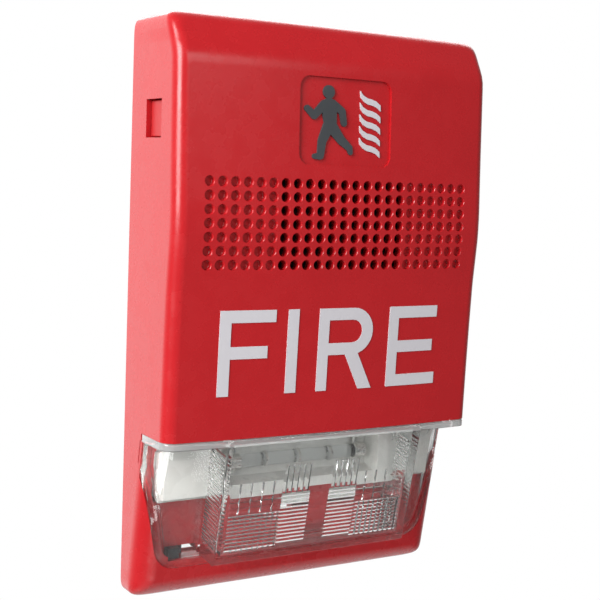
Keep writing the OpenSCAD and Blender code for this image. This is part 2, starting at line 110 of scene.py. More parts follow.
def edge_gap(x, z):
    """Distance inside the front outline, and 1 beside a long side or 0 at an end."""
    mx, mz = corner_pull(x, z)
    far = (mx ** CORNER_POWER + mz ** CORNER_POWER) ** (1 / CORNER_POWER)
    side = np.where(far > 0, mx / np.maximum(np.hypot(mx, mz), 1e-9), 1.0)
    return CORNER - far, side ** 2


def drop(gap, r, power):
    """How far a round edge of size r falls back at a distance inside the outline."""
    t = np.clip((r - gap) / r, 0, 1)
    return r * (1 - (1 - t ** power) ** (1 / power))


def face_depth(z):
    """Depth of the face on its centre line, with its bends rounded."""
    zs = [p[0] for p in FACE][::-1]
    back = [p[1] for p in FACE][::-1]
    steps = np.linspace(-FACE_SOFT, FACE_SOFT, FACE_SAMPLES)
    return FRONT - sum(np.interp(z + s, zs, back) for s in steps) / len(steps)


def upper_depth(x, z):
    """Depth of the front surface above the lip."""
    gap, side = edge_gap(x, z)
    fillet = TOP_FILLET + (SIDE_FILLET - TOP_FILLET) * side
    return face_depth(z) - CROWN * (x / HALF_W) ** 2 - drop(gap, fillet, 2)


def slope_plane(x, z):
    """Depth of the sloping lower part before its edges are rounded."""
    return SLOPE_DEPTH + (z - SLOPE_Z) * SLOPE + 0 * x


def lower_depth(x, z):
    """Depth of the front surface below the lip."""
    gap, side = edge_gap(x, z)
    fillet = BOTTOM_FILLET + (SLOPE_FILLET - BOTTOM_FILLET) * side
    return slope_plane(x, z) - drop(gap, fillet, END_ROUND + (SIDE_ROUND - END_ROUND) * side)


def inner(depth, by):
    """The same surface moved back, with its edges moved in by the same amount."""
    return lambda x, z: depth(x * (HALF_W + by) / HALF_W, z * (HALF_H + by) / HALF_H) - by


def raised(depth, by):
    """The same surface moved straight forward."""
    return lambda x, z: depth(x, z) + by


def surface_normal(depth, x, z):
    """Outward normals of the surface y = -depth(x, z)."""
    h = 0.02
    dx = (depth(x + h, z) - depth(x - h, z)) / (2 * h)
    dz = (depth(x, z + h) - depth(x, z - h)) / (2 * h)
    n = np.stack([-dx, -np.ones_like(dx), -dz], axis=1)
    return n / np.linalg.norm(n, axis=1)[:, None]


def wall_normal(x, z):
    """Outward normals of the side walls that follow the front outline."""
    mx, mz = corner_pull(x, z)
    rise = CORNER_POWER - 1
    n = np.stack([mx ** rise * np.sign(x), np.zeros_like(mx), mz ** rise * np.sign(z)], axis=1)
    return n / np.maximum(np.linalg.norm(n, axis=1), 1e-9)[:, None]


# ---------------------------------------------------------------- mesh tools


def arc(cx, cz, r, a0, a1, steps):
    """Points of an arc, angles in degrees."""
    return [(cx + r * math.cos(math.radians(a0 + (a1 - a0) * k / steps)),
             cz + r * math.sin(math.radians(a0 + (a1 - a0) * k / steps))) for k in range(steps + 1)]


def circle(x, z, r, sides):
    return [(x + r * math.cos(2 * math.pi * k / sides), z + r * math.sin(2 * math.pi * k / sides))
            for k in range(sides)]


def round_rect(w, h, r, cz):
    """A rectangle with round corners, centred on X = 0 at a height."""
    x, z = w / 2 - r, h / 2 - r
    loop = []
    for sx, sz, a in ((1, 1, 0), (-1, 1, 90), (-1, -1, 180), (1, -1, 270)):
        loop += arc(sx * x, cz + sz * z, r, a, a + 90, 8)
    return loop


def inside(loops, px, pz):
    """Even-odd test of points against closed loops."""
    odd = np.zeros(len(px), bool)
    for loop in loops:
        for (x0, z0), (x1, z1) in zip(loop, loop[1:] + loop[:1]):
            if z0 == z1:
                continue
            cross = (z0 > pz) != (z1 > pz)
            odd ^= cross & (px < (x1 - x0) * (pz - z0) / (z1 - z0) + x0)
    return odd


def stretch(a, b, step):
    """Points from a towards b, no further apart than step, and b itself left out."""
    n = max(1, math.ceil(math.hypot(b[0] - a[0], b[1] - a[1]) / step))
    return [(a[0] + (b[0] - a[0]) * k / n, a[1] + (b[1] - a[1]) * k / n) for k in range(n)]


def split(loop, step):
    """The loop with long straight stretches cut into pieces no longer than step."""
    return [p for a, b in zip(loop, loop[1:] + loop[:1]) for p in stretch(a, b, step)]


def split_line(loop, z):
    """The loop with points added where its upright edges cross a height."""
    out = []
    for (x0, z0), (x1, z1) in zip(loop, loop[1:] + loop[:1]):
        out.append((x0, z0))
        if (z0 - z) * (z1 - z) < 0:
            out.append((x0 + (x1 - x0) * (z - z0) / (z1 - z0), z))
    return out


def new_object(name, verts, faces):
    """A mesh object in the scene, from points in metres."""
    mesh = bpy.data.meshes.new(name)
    mesh.from_pydata([tuple(v) for v in verts], [], faces)
    mesh.validate()
    mesh.update()
    piece = bpy.data.objects.new(name, mesh)
    bpy.context.scene.collection.objects.link(piece)
    return piece


RING_ROOM = 0.4     # space between the last ring and the grid
MERGE = 1e-5        # points closer than this become one


def as_function(depth):
    """A depth over the front, from such a function or from one number."""
    return depth if callable(depth) else (lambda x, z: np.full(np.shape(x), float(depth)))


def field_solid(name, loops, front, back, step=4.0, rings=()):
    """A closed solid over the region inside the loops, between two depths.

    Its points lie on the loops, on the open lines in rings, and on a square grid that
    keeps clear of the strip along the outline that the rings fill.
    """
    front, back = as_function(front), as_function(back)
    loops = [split(loop, step) for loop in loops]
    points, edges = [], []
    for loop in loops:
        base = len(points)
        points += loop
        edges += [(base + k, base + (k + 1) % len(loop)) for k in range(len(loop))]
    for ring in rings:
        base = len(points)
        points += ring
        edges += [(base + k, base + k + 1) for k in range(len(ring) - 1)]
    flat = np.array([p for loop in loops for p in loop])
    xs = np.arange(math.ceil(flat[:, 0].min() / step), flat[:, 0].max() / step) * step
    zs = np.arange(math.ceil(flat[:, 1].min() / step), flat[:, 1].max() / step) * step
    gx, gz = [g.ravel() for g in np.meshgrid(xs, zs)]
    keep = inside(loops, gx, gz)
    if rings:
        ring = np.array(rings[-1])
        keep &= edge_gap(gx, gz)[0] > edge_gap(ring[:, 0], ring[:, 1])[0].max() + RING_ROOM
    points += list(zip(gx[keep].tolist(), gz[keep].tolist()))
    made = delaunay_2d_cdt([Vector(p) for p in points], edges, [], 0, MERGE)
    flat = np.array([tuple(v) for v in made[0]])
    tris = np.array(made[2], int)
    centre = flat[tris].mean(axis=1)
    tris = tris[inside(loops, centre[:, 0], centre[:, 1])]
    a, b = flat[tris[:, 1]] - flat[tris[:, 0]], flat[tris[:, 2]] - flat[tris[:, 0]]
    turned = a[:, 0] * b[:, 1] - a[:, 1] * b[:, 0] < 0
    tris[turned] = tris[turned][:, ::-1]
    used = np.unique(tris)
    index = np.full(len(flat), -1)
    index[used] = np.arange(len(used))
    flat, tris = flat[used], index[tris]
    x, z = flat[:, 0], flat[:, 1]
    n = len(flat)
    near = np.stack([x, -front(x, z), z], axis=1)
    far = np.stack([x, -back(x, z), z], axis=1)
    sides = dict.fromkeys(pair for a, b, c in tris.tolist() for pair in ((a, b), (b, c), (c, a)))
    rim = [(i, j) for i, j in sides if (j, i) not in sides]
    faces = tris.tolist() + [[c + n, b + n, a + n] for a, b, c in tris.tolist()]
    faces += [[j, i, i + n, j + n] for i, j in rim]
    return new_object(name, np.vstack([near, far]) * MM, faces)


def prism(name, outline, start, end):
    """A closed solid: an outline of (y, z) run along X, in mm."""
    n = len(outline)
    verts = [(x, y, z) for x in (start, end) for y, z in outline]
    area = sum(p[0] * q[1] - q[0] * p[1] for p, q in zip(outline, outline[1:] + outline[:1]))
    order = list(range(n))
    faces = [order[::-1], [k + n for k in order]]
    faces += [[k, (k + 1) % n, (k + 1) % n + n, k + n] for k in order]
    if area < 0:
        faces = [f[::-1] for f in faces]
    return new_object(name, np.array(verts) * MM, faces)


def block(name, lo, hi):
    """A box between two corners in mm."""
    return prism(name, [(lo[1], lo[2]), (hi[1], lo[2]), (hi[1], hi[2]), (lo[1], hi[2])], lo[0], hi[0])


def joined(name, pieces):
    """Several solids that don't overlap, as one object."""
    verts, faces = [], []
    for p in pieces:
        base = len(verts)
        verts += [tuple(p.matrix_world @ v.co) for v in p.data.vertices]
        faces += [[base + i for i in f.vertices] for f in p.data.polygons]
        bpy.data.objects.remove(p)
    return new_object(name, verts, faces)


def cut(piece, *steps):
    """Applies booleans in turn: each step is ("DIFFERENCE" or "UNION", other solid)."""
    for operation, other in steps:
        m = piece.modifiers.new(operation, "BOOLEAN")
        m.operation = operation
        m.object = other
        m.solver = "MANIFOLD"
    graph = bpy.context.evaluated_depsgraph_get()
    mesh = bpy.data.meshes.new_from_object(piece.evaluated_get(graph))
    mesh.materials.clear()
    mesh.polygons.foreach_set("material_index", np.zeros(len(mesh.polygons), np.int32))
    piece.modifiers.clear()
    piece.data = mesh
    for _, other in steps:
        bpy.data.objects.remove(other)
    return piece


def shade(piece, angle):
    """Smooth shading, with edges sharper than the angle left sharp."""
    piece.data.shade_smooth()
    piece.data.set_sharp_from_angle(angle=math.radians(angle))


def finish_piece(piece, body, slot, *stands_for):
    """Puts a piece on its body, in place of the CAD nodes it stands for. The slot argument is not used.
    """
    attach(piece, body)
    if stands_for:
        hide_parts(*stands_for)


# ---------------------------------------------------------------- materials


class Shader:
    """A node tree being built, with short names for the nodes used here."""

    def __init__(self, name):
        self.material = bpy.data.materials.new(name)
        self.material.use_nodes = True
        self.tree = self.material.node_tree
        self.tree.nodes.clear()
        self.out = self.node("ShaderNodeOutputMaterial")
        self.main = self.node("ShaderNodeBsdfPrincipled")
        self.join(self.main.outputs[0], self.out.inputs["Surface"])
        self.where = self.node("ShaderNodeTexCoord").outputs["Object"]

    def node(self, kind, **values):
        made = self.tree.nodes.new(kind)
        for key, value in values.items():
            setattr(made, key, value)
        return made

    def join(self, a, b):
        self.tree.links.new(a, b)

    def noise(self, scale, detail=3.0, rough=0.55, stretch=None):
        """A noise value over the object, stretched along the axes if asked."""
        made = self.node("ShaderNodeTexNoise")
        made.inputs["Scale"].default_value = scale
        made.inputs["Detail"].default_value = detail
        made.inputs["Roughness"].default_value = rough
        where = self.where
        if stretch:
            mapping = self.node("ShaderNodeMapping")
            mapping.inputs["Scale"].default_value = stretch
            self.join(where, mapping.inputs["Vector"])
            where = mapping.outputs[0]
        self.join(where, made.inputs["Vector"])
        return made.outputs["Fac"]

    def span(self, value, lo, hi, from_lo=0.3, from_hi=0.7):
        """The value mapped to the range lo to hi."""
        made = self.node("ShaderNodeMapRange")
        made.inputs["From Min"].default_value = from_lo
        made.inputs["From Max"].default_value = from_hi
        made.inputs["To Min"].default_value = lo
        made.inputs["To Max"].default_value = hi
        self.join(value, made.inputs["Value"])
        return made.outputs["Result"]

    def ramp(self, value, *stops):
        """A colour ramp with stops of (position, colour)."""
        made = self.node("ShaderNodeValToRGB")
        ramp = made.color_ramp
        while len(ramp.elements) < len(stops):
            ramp.elements.new(0.5)
        for element, (at, colour) in zip(ramp.elements, stops):
            element.position = at
            element.color = (*colour, 1)
        self.join(value, made.inputs["Fac"])
        return made.outputs["Color"]

    def bump(self, height, strength, distance):
        made = self.node("ShaderNodeBump")
        made.inputs["Strength"].default_value = strength
        made.inputs["Distance"].default_value = distance
        self.join(height, made.inputs["Height"])
        return made.outputs["Normal"]

    def set(self, **values):
        """Sets or links the shader's own sockets by short names."""
        names = {"colour": "Base Color", "rough": "Roughness", "metal": "Metallic", "ior": "IOR",
                 "coat": "Coat Weight", "clear": "Transmission Weight", "normal": "Normal"}
        for key, value in values.items():
            socket = self.main.inputs[names[key]]
            if isinstance(value, bpy.types.NodeSocket):
                self.join(value, socket)
            elif key == "colour":
                socket.default_value = (*value, 1)
            else:
                socket.default_value = value


def tint(colour, factor):
    """The colour made darker or lighter."""
    return tuple(min(1.0, c * factor) for c in colour)


def plastic(name, colour, rough, grain=1500.0, depth=0.00004, vary=0.07, coat=0.0, strength=0.35):
    """Moulded plastic: a fine spark-eroded grain, slow colour drift and uneven gloss."""
    s = Shader(name)
    slow = s.noise(60.0, 4.0)
    fine = s.noise(grain, 2.0, 0.6)
    s.set(colour=s.ramp(slow, (0.3, tint(colour, 1 - vary)), (0.7, tint(colour, 1 + vary))))
    s.set(rough=s.span(s.noise(240.0, 3.0), rough - 0.05, rough + 0.05), coat=coat)
    s.set(normal=s.bump(fine, strength, depth))
    return s.material


def metal(name, colour, rough):
    """Worn metal with faint directional marks."""
    s = Shader(name)
    marks = s.noise(900.0, 3.0, 0.6, (1.0, 14.0, 1.0))
    worn = s.noise(150.0, 4.0)
    s.set(colour=s.ramp(worn, (0.3, tint(colour, 0.86)), (0.7, tint(colour, 1.06))), metal=1.0)
    s.set(rough=s.span(marks, rough - 0.08, rough + 0.12))
    s.set(normal=s.bump(marks, 0.2, 0.00003))
    return s.material


RIM_HIGHLIGHT_TRANSMISSION = 0.72                      # transmission of the lens's top rim, lowered so that it paints a highlight on a rim that is clear
RIM_HIGHLIGHT_ABOVE = (LIP_Z - 1.6) * MM    # the height at which the rim's painted highlight begins
RIM_HIGHLIGHT_BLEND = 0.2 * MM


def clear(name, colour, ior, rough, shade_through=0.97, clarity=1.0, painted_rim_highlight=False):
    """Clear plastic or glass, which lets the given share of direct light through its shadow."""
    s = Shader(name)
    s.set(colour=colour, rough=s.span(s.noise(500.0), rough, rough + 0.025), ior=ior, clear=clarity)
    s.set(normal=s.bump(s.noise(90.0, 2.0), 0.12, 0.00002))
    # Above a height the lens lets less light through and turns whitish: a painted highlight along its top
    # rim, which is really clear.
    if painted_rim_highlight:
        place = s.node("ShaderNodeSeparateXYZ")
        s.join(s.where, place.inputs[0])
        s.set(clear=s.span(place.outputs["Z"], clarity, RIM_HIGHLIGHT_TRANSMISSION, RIM_HIGHLIGHT_ABOVE - RIM_HIGHLIGHT_BLEND, RIM_HIGHLIGHT_ABOVE))
    path = s.node("ShaderNodeLightPath")
    through = s.node("ShaderNodeBsdfTransparent")
    through.inputs["Color"].default_value = (*tint(colour, shade_through), 1)
    mix = s.node("ShaderNodeMixShader")
    s.join(path.outputs["Is Shadow Ray"], mix.inputs[0])
    s.join(s.main.outputs[0], mix.inputs[1])
    s.join(through.outputs[0], mix.inputs[2])
    s.join(mix.outputs[0], s.out.inputs["Surface"])
    return s.material


WAVE_SCALE = 0.314      # a Wave texture at this scale over the pitch repeats once a pitch


def woven(name, colour, pitch, rough):
    """A fine square weave, from two crossed waves."""
    s = Shader(name)
    waves = []
    for direction in ("X", "Z"):
        wave = s.node("ShaderNodeTexWave", wave_type="BANDS", bands_direction=direction)
        wave.inputs["Scale"].default_value = WAVE_SCALE / pitch
        wave.inputs["Distortion"].default_value = 0.4
        s.join(s.where, wave.inputs["Vector"])
        waves.append(wave.outputs["Fac"])
    both = s.node("ShaderNodeMath", operation="MULTIPLY")
    s.join(waves[0], both.inputs[0])
    s.join(waves[1], both.inputs[1])
    threads = s.ramp(both.outputs[0], (0.0, tint(colour, 0.4)), (1.0, tint(colour, 1.5)))
    s.set(colour=threads, rough=rough)
    s.set(normal=s.bump(both.outputs[0], 0.8, 0.00012))
    return s.material


def board_material():
    """Green solder mask over copper tracks, which show as paler lines."""
    s = Shader("solder_mask_green")
    tracks = s.node("ShaderNodeTexBrick")
    tracks.inputs["Scale"].default_value = 210.0
    tracks.inputs["Mortar Size"].default_value = 0.06
    tracks.inputs["Color1"].default_value = (0.010, 0.10, 0.035, 1)
    tracks.inputs["Color2"].default_value = (0.014, 0.13, 0.048, 1)
    tracks.inputs["Mortar"].default_value = (0.03, 0.25, 0.10, 1)
    turn = s.node("ShaderNodeMapping")
    turn.inputs["Rotation"].default_value = (math.radians(90), 0, 0)
    s.join(s.where, turn.inputs["Vector"])
    s.join(turn.outputs[0], tracks.inputs["Vector"])
    s.set(colour=tracks.outputs["Color"], rough=s.span(s.noise(700.0), 0.25, 0.4), coat=0.4)
    s.set(normal=s.bump(tracks.outputs["Fac"], 0.3, 0.00004))
    return s.material


cover_red = plastic("cover_red_plastic", (0.45, 0.010, 0.014), 0.27, grain=2200.0, depth=0.00005,
                    vary=0.03)
plate_red = plastic("plate_red_plastic", (0.44, 0.012, 0.015), 0.46)
letter_white = plastic("letter_white_paint", (0.58, 0.56, 0.59), 0.5, grain=2600.0, vary=0.02)
pictogram_dark = plastic("pictogram_charcoal", (0.045, 0.05, 0.055), 0.45, grain=1800.0, vary=0.15)
reflector_white = plastic("reflector_white_plastic", (0.70, 0.69, 0.66), 0.28, grain=600.0, vary=0.02,
                          coat=0.3)
# The lens is made 2% cloudy, which paints bright edges and glints into its clear plastic, and its top rim
# gets the painted highlight.
lens_clear = clear("lens_clear_polycarbonate", (0.97, 0.985, 0.98), 1.52, 0.0, shade_through=0.62,
                   clarity=0.98, painted_rim_highlight=True)

NODE_MATERIALS = {
    "cover_red": cover_red,
    "plate_red": plate_red,
    "lens_clear": lens_clear,
    "letter_white": letter_white,
    "pictogram_dark": pictogram_dark,
    "reflector_white": reflector_white,
    "tube_glass": clear("flash_tube_glass", (0.95, 0.97, 0.98), 1.47, 0.01),
    "tin_metal": metal("tinned_wire", (0.72, 0.71, 0.68), 0.28),
    "steel_zinc": metal("zinc_plated_steel", (0.66, 0.68, 0.68), 0.3),
    "brass": metal("rolled_brass", (0.80, 0.58, 0.26), 0.26),
    "screen_black": woven("dust_cloth", (0.012, 0.012, 0.013), 0.0005, 0.8),
    "foam_grey": plastic("foam_gasket", (0.09, 0.09, 0.095), 0.85, grain=900.0, depth=0.0003,
                         strength=0.9, vary=0.2),
    "housing_black": plastic("sounder_black_plastic", (0.02, 0.02, 0.021), 0.4, vary=0.2),
    "board_green": board_material(),
    "chip_black": plastic("chip_epoxy", (0.022, 0.022, 0.024), 0.5, grain=2500.0, vary=0.2),
    "capacitor_sleeve": plastic("capacitor_blue_sleeve", (0.03, 0.05, 0.16), 0.22, grain=700.0,
                                vary=0.1, coat=0.4),
    "tape_yellow": plastic("winding_tape", (0.78, 0.55, 0.07), 0.3, grain=500.0, vary=0.1),
    "ferrite": plastic("ferrite", (0.06, 0.06, 0.065), 0.6, grain=1800.0, strength=0.7, vary=0.2),
    "slider_black": plastic("slider_black_plastic", (0.014, 0.014, 0.016), 0.35, vary=0.2),
    "switch_blue": plastic("switch_blue_plastic", (0.02, 0.10, 0.40), 0.3),
    "lever_white": plastic("lever_white_plastic", (0.80, 0.80, 0.77), 0.32, vary=0.03),
    "block_black": plastic("terminal_black_plastic", (0.028, 0.028, 0.03), 0.48, vary=0.2),
}
for part in frame["record"]["subparts"]:
    piece = nodes[part["node"]]
    piece.data.materials.clear()
    piece.data.materials.append(NODE_MATERIALS[part["material_slot"]])

# ---------------------------------------------------------------- the cover

FLANGE = 1.8            # height of the lens's top rim, which fills a notch through the cover
NOTCH_DEPTH = 9.5       # depth of the notch's floor
POCKET = 4.5            # the pocket behind the lens, measured back from the slope
POCKET_WALL = 1.8
POCKET_INSET = 2.2
SKIN_REACH = 4.2        # how far the skin of the lens reaches back from the slope
LENS_T = 1.6            # thickness of the lens
LENS_GAP = 0.1
FOOT_LAP = 0.6          # how far the foot runs up into the shell above it
HOLLOW_R = 3.0          # inner corners of the cover
UPPER_HOLLOW_Z = LIP_Z + 1.8    # where the upper and lower hollows and the pocket end
LOWER_HOLLOW_Z = LIP_Z + 2.0
POCKET_Z = LIP_Z - 2.3
OUT = 2.0               # how far the cutters start outside what they cut
CORNER_STEPS = 14       # points round a corner of the outline


def corner_line(inset, a0, a1):
    """Points round one corner of the outline moved in by inset, angles in degrees."""
    middle = math.radians((a0 + a1) / 2)
    centre_x = math.copysign(HALF_W - CORNER, math.cos(middle))
    centre_z = math.copysign(HALF_H - CORNER, math.sin(middle))
    r = CORNER - inset
    points = []
    for k in range(CORNER_STEPS + 1):
        a = math.radians(a0 + (a1 - a0) * k / CORNER_STEPS)
        reach_x, reach_z = [r * math.copysign(abs(v) ** (2 / CORNER_POWER), v) if abs(v) > 1e-9 else 0.0
                            for v in (math.cos(a), math.sin(a))]
        points.append((centre_x + reach_x, centre_z + reach_z))
    return points


def outline_loop(inset, z_from, z_to):
    """The front outline moved in by inset, as a closed loop.

    It runs from a height up to the top edge, or from the bottom edge up to a height.
    """
    w = HALF_W - inset
    if z_to > 0:
        return [(-w, z_from), (w, z_from)] + corner_line(inset, 0, 90) + corner_line(inset, 90, 180)
    return [(w, z_to), (-w, z_to)] + corner_line(inset, 180, 270) + corner_line(inset, 270, 360)


EDGE_RINGS = 9
EDGE_STEP = 1.5


def edge_rings(z_from, z_to, fillet):
    """Open lines along the outline, closer together towards the edge, to carry the fillet."""
    rings = []
    for k in range(1, EDGE_RINGS + 1):
        inset = fillet * (1 - math.cos(math.radians(90 / EDGE_RINGS * k)))
        loop = outline_loop(inset, z_from, z_to)
        line = loop[1:] + loop[:1]
        rings.append([p for a, b in zip(line, line[1:]) for p in stretch(a, b, EDGE_STEP)] + [line[-1]])
    return rings


def lens_loop(grow, top_z=LIP_Z - FLANGE):
    """Front outline of the lens, grown by a distance: it runs out past both sides at its top."""
    w, z, r = 37.5 + grow, -58.3 - grow, 6.0 + grow
    top_w = HALF_W + 0.5 + grow
    shoulder = -33.0
    return ([(top_w, top_z), (-top_w, top_z), (-top_w, shoulder)]
            + arc(r - w, z + r, r, 190, 270, 8) + arc(w - r, z + r, r, 270, 350, 8) + [(top_w, shoulder)])


def seat_depth(x, z):
    """The recess in the cover's front that the skin of the lens lies in."""
    return np.maximum(inner(lower_depth, LENS_T + LENS_GAP)(x, z), slope_plane(x, z) - SKIN_REACH)


# The grille: 23 columns and 7 rows of round holes, open only behind the middle columns.
HOLE_R, HOLE_SOFT, HOLE_SIDES = 1.075, 0.14, 20
PITCH_X, PITCH_Z, GRILLE_TOP = 3.05, 3.0, 30.7
COLUMNS, ROWS = 23, 7
OPEN_COLUMNS = range(6, 17)
THROUGH, SHALLOW = 5.0, 1.25


def grille_cutters():
    """Pins that cut the holes, each with a soft rim and a flat floor."""
    verts, faces = [], []
    for c in range(COLUMNS):
        for r in range(ROWS):
            x0, z0 = (c - COLUMNS // 2) * PITCH_X, GRILLE_TOP - r * PITCH_Z
            d = float(upper_depth(np.array([x0]), np.array([z0]))[0])
            floor = d - (THROUGH if c in OPEN_COLUMNS else SHALLOW)
            levels = [(d + 0.35, HOLE_R + HOLE_SOFT + 0.12), (d, HOLE_R + HOLE_SOFT),
                      (d - HOLE_SOFT, HOLE_R + 0.03), (floor + 0.1, HOLE_R - 0.02),
                      (floor, HOLE_R - 0.15)]
            base = len(verts)
            for depth, radius in levels:
                verts += [(x, -depth, z) for x, z in circle(x0, z0, radius, HOLE_SIDES)]
            for level in range(len(levels) - 1):
                start = base + level * HOLE_SIDES
                for k in range(HOLE_SIDES):
                    i, j = start + k, start + (k + 1) % HOLE_SIDES
                    faces.append([j, i, i + HOLE_SIDES, j + HOLE_SIDES])
            top = list(range(base, base + HOLE_SIDES))
            faces += [top, [k + (len(levels) - 1) * HOLE_SIDES for k in top[::-1]]]
    return new_object("grille_cutters", np.array(verts) * MM, faces)


def rod(name, x, z, r, front, back, sides):
    """A round bar square to the wall, between two depths."""
    return field_solid(name, [circle(x, z, r, sides)], front, back, 50.0)


# The recessed plaque for the pictogram.
PLAQUE_Z = 44.65
PLAQUE_DEPTH = 0.6
plaque_loop = round_rect(24.4, 19.5, 2.5, PLAQUE_Z)


def plaque_floor(x, z):
    return upper_depth(x, z) - PLAQUE_DEPTH


# Openings as boxes of two corners, in mm.
WINDOW_LO, WINDOW_HI = (36, -15.7, 39.4), (44, -7.8, 47.7)
REFLECTOR_LO, REFLECTOR_HI = (-37.4, -FRONT, -42.4), (37.4, 1.0, -28.3)
SLOT_LO, SLOT_HI = (-33.2, -FRONT, -56.6), (-22.5, 1.0, -53.8)
# Four bosses carry the circuit board: their places, and the radius, front, back and number of
# sides of each boss and of its screw hole.
BOSS_X, BOSS_Z = (-29, 29), (52, -18)
BOSS, BOSS_HOLE = (3.0, 21.0, 13.6, 32), (1.1, 18.8, 13.0, 20)


def mirrored(name, side, lo, hi):
    """The box on the right side, or its mirror image on the left."""
    xs = sorted((side * lo[0], side * hi[0]))
    return block(name, (xs[0], lo[1], lo[2]), (xs[1], hi[1], hi[2]))


def hollow_loop(z, up):
    """Inside of the cover's walls, from a height to the top or the bottom edge."""
    side = HALF_W - WALL
    w, h = side - HOLLOW_R, HALF_H - WALL - HOLLOW_R
    if up:
        return [(-side, z), (side, z)] + arc(w, h, HOLLOW_R, 0, 90, 6) + arc(-w, h, HOLLOW_R, 90, 180, 6)
    return ([(side, z), (-side, z)] + arc(-w, -h, HOLLOW_R, 180, 270, 6)
            + arc(w, -h, HOLLOW_R, 270, 360, 6))


def lower_hollow_depth(x, z):
    """Back of the walls round the lens's pocket."""
    return np.minimum(slope_plane(x, z) - (POCKET + POCKET_WALL), NOTCH_DEPTH - POCKET_WALL)


def make_cover():
    """The cover: a crowned shell and a sloping foot, hollowed and then cut by each opening."""
    body = field_solid("cover_shell", [outline_loop(0, LIP_Z, HALF_H)], upper_depth, 0.0, 1.25,
                       edge_rings(LIP_Z, HALF_H, SIDE_FILLET))
    foot_top = LIP_Z + FOOT_LAP
    foot = field_solid("cover_foot", [outline_loop(0, -HALF_H, foot_top)], lower_depth, 0.0, 1.5,
                       edge_rings(-HALF_H, foot_top, SLOPE_FILLET))
    before = FRONT + OUT
    pocket = [lens_loop(-POCKET_INSET, POCKET_Z)]
    notch = block("seat", (-HALF_W - 1, -before, LIP_Z - FLANGE), (HALF_W + 1, -NOTCH_DEPTH, LIP_Z))
    cutters = [
        field_solid("hollow", [hollow_loop(UPPER_HOLLOW_Z, True)], inner(upper_depth, WALL), -OUT, 3.0),
        field_solid("hollow", [hollow_loop(LOWER_HOLLOW_Z, False)], lower_hollow_depth, -OUT, 4.0),
        notch,
        field_solid("seat", [lens_loop(LENS_GAP)], before, seat_depth, 1.5),
        field_solid("pocket", pocket, before, raised(slope_plane, -POCKET), 3.0),
        block("reflector_opening", REFLECTOR_LO, REFLECTOR_HI),
        joined("windows", [mirrored("window", side, WINDOW_LO, WINDOW_HI) for side in (-1, 1)]),
        field_solid("plaque", [plaque_loop], before, plaque_floor, 2.0),
        block("slot", SLOT_LO, SLOT_HI),
        grille_cutters(),
    ]
    steps = [("UNION", foot)] + [("DIFFERENCE", cutter) for cutter in cutters]
    for x in BOSS_X:
        for z in BOSS_Z:
            steps.append(("UNION", rod("boss", x, z, *BOSS)))
            steps.append(("DIFFERENCE", rod("boss_hole", x, z, *BOSS_HOLE)))
    return cut(body, *steps)


ON_SURFACE = 0.004      # a point this close to a surface lies on it
FACING = 0.5            # least agreement between a face and the exact normals at its corners


def set_cover_normals(piece):
    """Exact normals on the outer surface, so that the cuts leave it smooth."""
    mesh = piece.data
    shade(piece, 32)
    corners = len(mesh.loops)
    normal = np.zeros(corners * 3, np.float32)
    mesh.corner_normals.foreach_get("vector", normal)
    normal = normal.reshape(-1, 3)
    vertex = np.zeros(corners, np.int32)
    mesh.loops.foreach_get("vertex_index", vertex)
    co = np.zeros(len(mesh.vertices) * 3, np.float32)
    mesh.vertices.foreach_get("co", co)
    co = co.reshape(-1, 3).astype(float) / MM
    x, depth, z = co[:, 0], -co[:, 1], co[:, 2]
    gap = edge_gap(x, z)[0]
    on_wall = gap < ON_SURFACE
    on = {"upper": (abs(depth - upper_depth(x, z)) < ON_SURFACE) & (z > LIP_Z - ON_SURFACE),
          "lower": (abs(depth - lower_depth(x, z)) < ON_SURFACE) & (z < LIP_Z + ON_SURFACE),
          "wall": on_wall}
    exact = {"upper": surface_normal(upper_depth, x, z), "lower": surface_normal(lower_depth, x, z),
             "wall": wall_normal(x, z)}
    for kind in ("upper", "lower"):
        exact[kind][on_wall] = exact["wall"][on_wall]
    start = np.zeros(len(mesh.polygons), np.int32)
    total = np.zeros(len(mesh.polygons), np.int32)
    mesh.polygons.foreach_get("loop_start", start)
    mesh.polygons.foreach_get("loop_total", total)
    owner = np.repeat(np.arange(len(start)), total)
    flat = np.zeros(len(mesh.polygons) * 3, np.float32)
    mesh.polygons.foreach_get("normal", flat)
    flat = flat.reshape(-1, 3)
    for kind in ("wall", "upper", "lower"):
        whole = np.ones(len(start), bool)
        np.logical_and.at(whole, owner, on[kind][vertex])
        middle = np.zeros((len(start), 3))
        np.add.at(middle, owner, exact[kind][vertex])
        whole &= (middle * flat).sum(1) > FACING * np.linalg.norm(middle, axis=1)
        chosen = whole[owner]
        normal[chosen] = exact[kind][vertex[chosen]]
    mesh.normals_split_custom_set(normal.tolist())


cover = make_cover()
set_cover_normals(cover)
for vertex in cover.data.vertices:
    vertex.co.z += TOP_LIFT * MM * max(0.0, vertex.co.z / MM - LIFT_FROM) / (HALF_H - LIFT_FROM)
cover.data.materials.append(cover_red)
finish_piece(cover, "head", "cover_red", "front_cover")

# ---------------------------------------------------------------- lettering and pictogram

LETTER_TOP, LETTER_H, STROKE = 2.8, 19.0, 2.75
LETTER_RAISE, LETTER_ROOT = 0.16, 0.3     # above the face, and sunk into it


